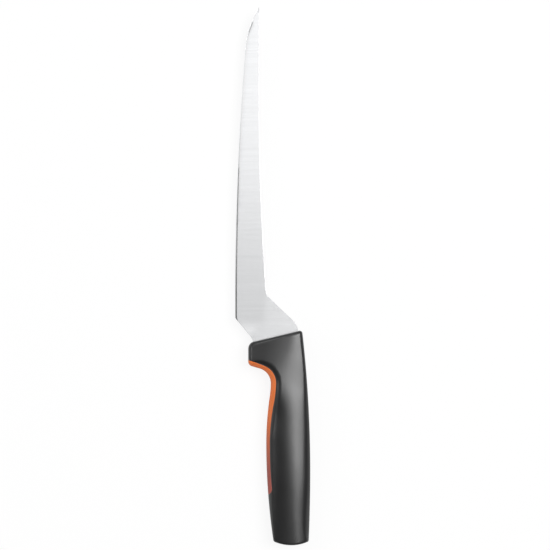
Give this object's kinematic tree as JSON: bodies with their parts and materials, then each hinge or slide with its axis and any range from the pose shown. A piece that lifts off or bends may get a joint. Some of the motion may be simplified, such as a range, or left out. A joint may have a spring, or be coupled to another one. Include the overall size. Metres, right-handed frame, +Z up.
{
  "type": "fillet knife",
  "caption": "Long narrow fillet knife with a cranked neck, a fine cross-brushed steel blade and a crowned moulded handle with a soft belly pad.",
  "frame": {"origin": "centre of the knife's outline at the lowest point that it lies on, on its side", "axes": "+Y from the handle towards the tip, +X from the cutting edge towards the back, +Z up out of the blade's flat"},
  "size_m": [0.0498, 0.3584, 0.021],
  "materials": {
    "brushed_blade_steel": "fine brushing across the blade, satin",
    "hard_core_plastic": "as moulded, hidden inside the sleeve",
    "grip_black": "satin moulded grip with a very fine grain",
    "pad_orange": "soft matt moulding"
  },
  "bodies": {
    "root": {"blade": "brushed_blade_steel", "handle_core": "hard_core_plastic", "grip_sleeve": "grip_black", "belly_pad": "pad_orange"}
  },
  "joints": []
}
